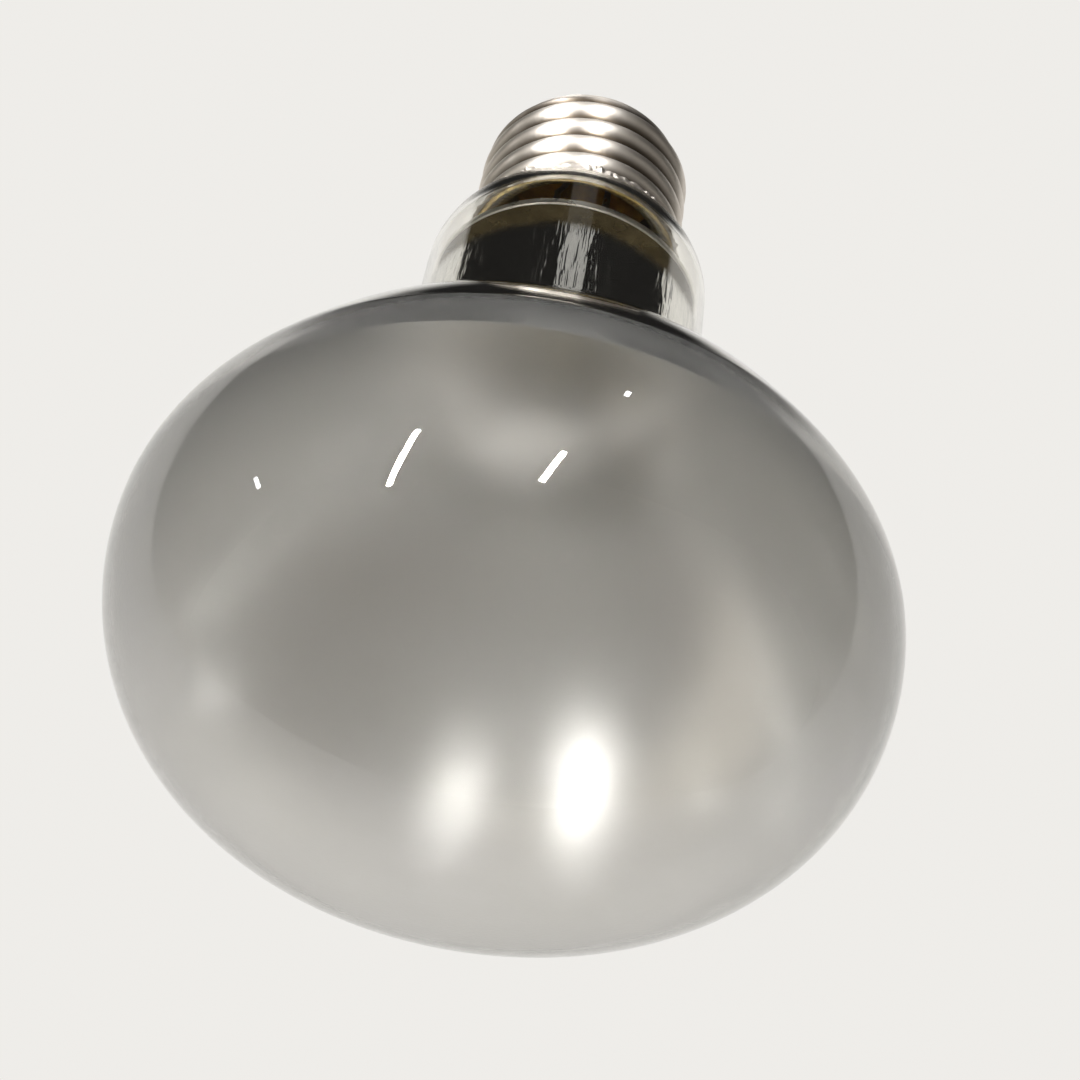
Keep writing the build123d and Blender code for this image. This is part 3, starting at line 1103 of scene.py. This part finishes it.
@dataclass
class Studio:
    """Camera, soft lights, pale surroundings and floor."""

    camera_place: Place = (0.293 * MM, -142.892 * MM, -208.828 * MM)
    camera_right: Place = (0.9839, -0.12903, 0.12363)
    camera_up: Place = (-0.17846, -0.67341, 0.71741)
    lens: float = 61.686
    sensor: float = 36.0
    centre: Place = (0.0, 0.0, -0.088)
    light_distance: float = 0.6
    light_spread: float = math.radians(70.0)
    wall_azimuth: float = math.radians(175.5)
    wall_lean: float = 0.36
    wall_top: Span = (0.8, 0.9)
    wall_edge: Span = (0.29, 0.35)
    front_fall: Span = (-0.2, 0.25)
    side_fall: Span = (-0.6, 0.6)
    backdrop: Colour = (0.86, 0.845, 0.815)
    left_side: Colour = (0.78, 0.745, 0.68)
    right_side: Colour = (0.29, 0.277, 0.255)
    ceiling: Colour = (0.015, 0.0145, 0.014)
    floor_level: float = -0.64
    floor_back: float = 0.53
    floor_front: float = -1.4
    floor_left: float = -1.25
    floor_right: float = 2.4
    floor_thickness: float = 0.02
    floor_sharp: float = 30.0

    def direction(self, azimuth: float, elevation: float) -> Vector:
        """Unit vector from the lamp, in degrees from the viewer's side to the right and above level."""
        turn, rise = math.radians(azimuth), math.radians(elevation)
        return Vector((math.sin(turn) * math.cos(rise), -math.cos(turn) * math.cos(rise), math.sin(rise)))

    def build_camera(self) -> None:
        """Set the camera at the photograph's viewing angle."""
        data = bpy.data.cameras.new("viewer")
        data.lens = self.lens
        data.sensor_width = self.sensor
        data.clip_start = 1 * MM
        camera = bpy.data.objects.new("viewer", data)
        right = Vector(self.camera_right).normalized()
        up = Vector(self.camera_up).normalized()
        turn = Matrix((right, up, right.cross(up))).transposed()
        camera.matrix_world = Matrix.Translation(self.camera_place) @ turn.to_4x4()
        bpy.context.scene.collection.objects.link(camera)
        bpy.context.scene.camera = camera

    def build_strip(self, strip: Strip) -> None:
        """Hang a strip light, which shows only through the glass where it is through_only."""
        ends = (strip.first, strip.last)
        first, last = (Vector(self.centre) + self.direction(*end) * self.light_distance for end in ends)
        data = bpy.data.lights.new(strip.name, "AREA")
        data.shape = "RECTANGLE"
        data.size = (last - first).length
        data.size_y = strip.width
        data.spread = self.light_spread
        half = self.light_spread / 2
        data.energy = strip.radiance * math.pi * data.size * data.size_y * (1 - half / math.tan(half))
        light = bpy.data.objects.new(strip.name, data)
        along = (last - first).normalized()
        middle = (first + last) / 2
        away = (middle - Vector(self.centre)).normalized()
        side = away.cross(along).normalized()
        turn = Matrix((along, side, along.cross(side))).transposed()
        light.matrix_world = Matrix.Translation(middle) @ turn.to_4x4()
        light.visible_camera = False
        light.visible_glossy = not strip.through_only
        light.visible_diffuse = not strip.through_only
        bpy.context.scene.collection.objects.link(light)

    def build_surroundings(self) -> None:
        """Make a room with a pale wall behind the lamp and a dim viewer's side."""
        world = bpy.data.worlds.new("studio_room")
        world.use_nodes = True
        bpy.context.scene.world = world
        bench = Bench(world.node_tree)
        ray = bench.add("ShaderNodeTexCoord").outputs["Generated"]
        split = bench.split(ray)
        to_wall = (math.sin(self.wall_azimuth), -math.cos(self.wall_azimuth), self.wall_lean)
        facing = bench.ramp(bench.vector("DOT_PRODUCT", ray, to_wall).outputs["Value"], *self.wall_edge)
        under_top = bench.math("SUBTRACT", 1.0, bench.ramp(split["Z"], *self.wall_top))
        on_wall = bench.math("MULTIPLY", facing, under_top)
        sides = bench.mix(bench.ramp(split["X"], *self.side_fall), self.left_side, self.right_side)
        front = bench.mix(bench.ramp(split["Z"], *self.front_fall), sides, self.ceiling)
        path = bench.add("ShaderNodeLightPath").outputs
        mirrored = bench.math("ADD", path["Is Glossy Ray"], path["Is Transmission Ray"])
        pale = bench.math("MAXIMUM", path["Is Camera Ray"], bench.math("MULTIPLY", mirrored, on_wall))
        room = bench.mix(on_wall, front, self.backdrop)
        bench.feed(world.node_tree.nodes["Background"], Color=bench.mix(pale, room, self.backdrop))

    def build_floor(self) -> None:
        """Lay the pale floor below the viewer."""
        bottom = self.floor_level - self.floor_thickness
        corners = [
            (x, y, z)
            for z in (bottom, self.floor_level)
            for x, y in (
                (self.floor_left, self.floor_front),
                (self.floor_right, self.floor_front),
                (self.floor_right, self.floor_back),
                (self.floor_left, self.floor_back),
            )
        ]
        sides = [(step, (step + 1) % 4, (step + 1) % 4 + 4, step + 4) for step in range(4)]
        mesh = bpy.data.meshes.new("floor")
        mesh.from_pydata(corners, [], [(3, 2, 1, 0), (4, 5, 6, 7), *sides])
        mesh.materials.append(PALE_FLOOR.make())
        finish_mesh("floor", mesh, self.floor_sharp)

    def build(self) -> None:
        """Build the whole studio."""
        self.build_camera()
        for strip in STRIPS:
            self.build_strip(strip)
        self.build_surroundings()
        self.build_floor()
        bpy.context.scene.view_settings.view_transform = "Standard"


NODE_FINISHES: dict[str, Finish] = {
    "stem": STEM_GLASS,
    "centre_lead": NICKEL_WIRE,
    "side_lead": NICKEL_WIRE,
    "filament": TUNGSTEN,
    "support_wires": TUNGSTEN,
    "lead_sleeve": SLEEVE_FIBRE,
    "basing_cement": CEMENT,
}


def main() -> None:
    """Build every sub-assembly in order."""
    logging.basicConfig(level=logging.INFO, format="%(name)s %(message)s")
    Envelope().build()
    ScrewShell().build()
    HeatShield().build()
    CapEnd().build()
    for name, finish in NODE_FINISHES.items():
        dress_node(name, finish)
    Studio().build()


if __name__ == "__main__":
    main()
